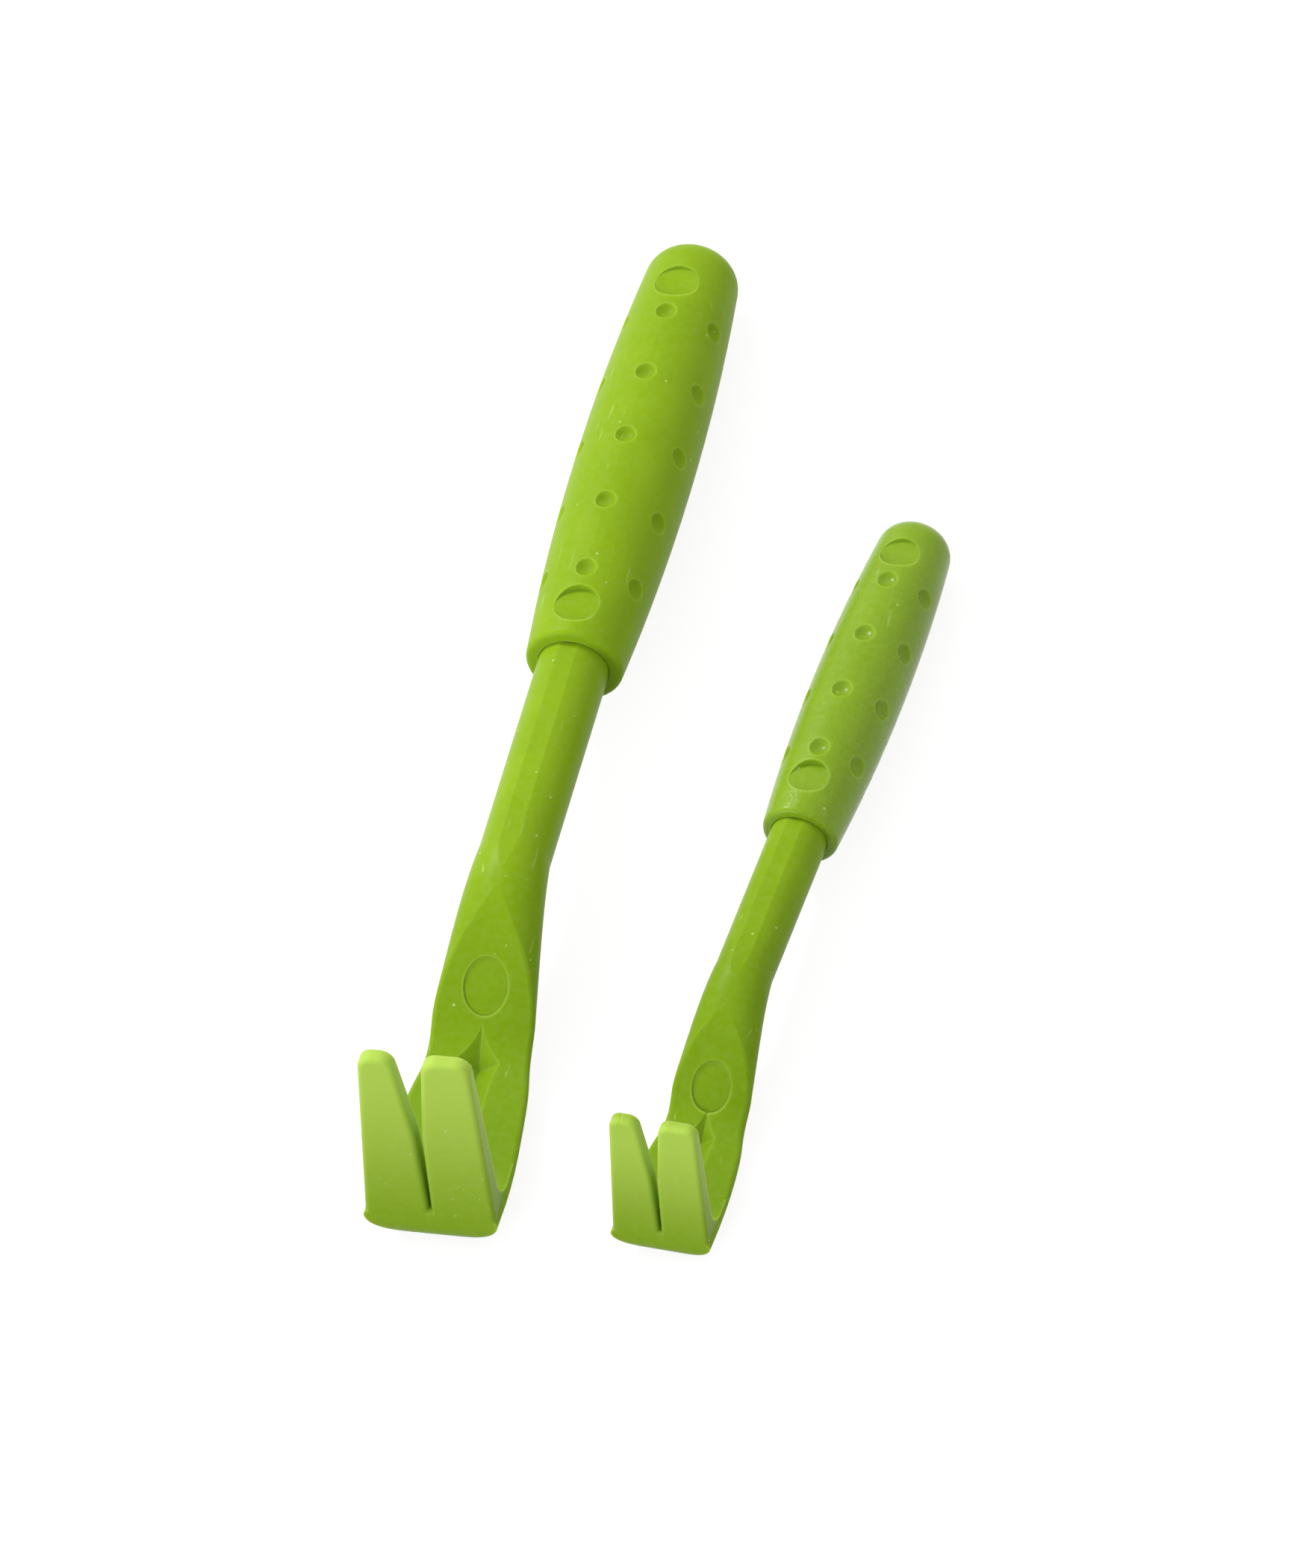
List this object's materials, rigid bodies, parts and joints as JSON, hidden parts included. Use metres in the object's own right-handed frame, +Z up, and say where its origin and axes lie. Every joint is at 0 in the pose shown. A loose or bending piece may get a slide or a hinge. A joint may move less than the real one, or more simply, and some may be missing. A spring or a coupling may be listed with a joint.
{
  "type": "tick removal hook",
  "caption": "Large and small hooked plastic tick removers with slotted two-tine forks, bent blades, round shanks and dimpled barrel grips.",
  "frame": {"origin": "centre of the pair's footprint, on the ground that both tools lie on", "axes": "+Y along the large tool from its fork towards its grip's tail, +Z up, the way that the tines point, +X towards the small tool"},
  "size_m": [0.0204, 0.0624, 0.0117],
  "materials": {
    "hook_plastic": "satin lime green moulded plastic",
    "grip_plastic": "satin lime green moulded plastic with dimples"
  },
  "bodies": {
    "large_tool": {"large_hook": "hook_plastic", "large_grip": "grip_plastic"},
    "small_tool": {"small_hook": "hook_plastic", "small_grip": "grip_plastic"}
  },
  "joints": [
    {"name": "small_tool_lift", "type": "slide", "parent": "large_tool", "child": "small_tool", "axis": [0, 0, 1], "range_m": [0, 0.06]}
  ]
}
